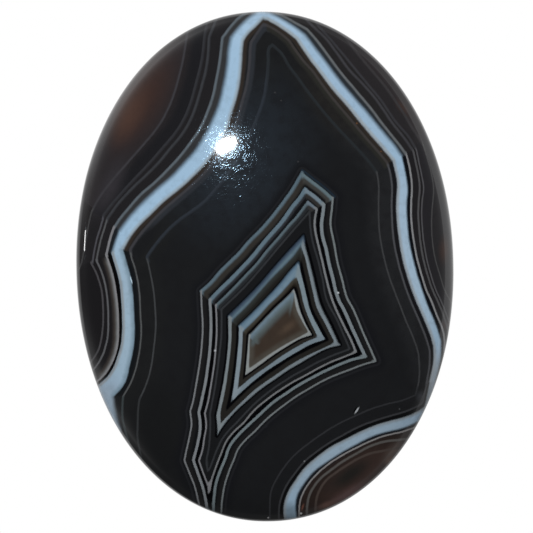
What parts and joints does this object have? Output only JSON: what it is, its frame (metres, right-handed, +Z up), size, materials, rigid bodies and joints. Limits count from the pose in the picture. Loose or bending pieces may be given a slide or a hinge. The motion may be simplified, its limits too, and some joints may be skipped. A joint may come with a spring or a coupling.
{
  "type": "polished agate cabochon",
  "caption": "Oval polished stone with a domed face, a low upright girdle and a flat back that it lies on.",
  "frame": {"origin": "middle of the flat back, on the surface that the stone lies on", "axes": "+Z up through the dome, +Y along the long axis of the oval, +X across it"},
  "size_m": [0.0296, 0.04, 0.0066],
  "materials": {
    "polished_agate": "polished to a gloss, black to dark brown with pale blue-grey growth bands"
  },
  "bodies": {
    "root": {"cabochon": "polished_agate"}
  },
  "joints": []
}
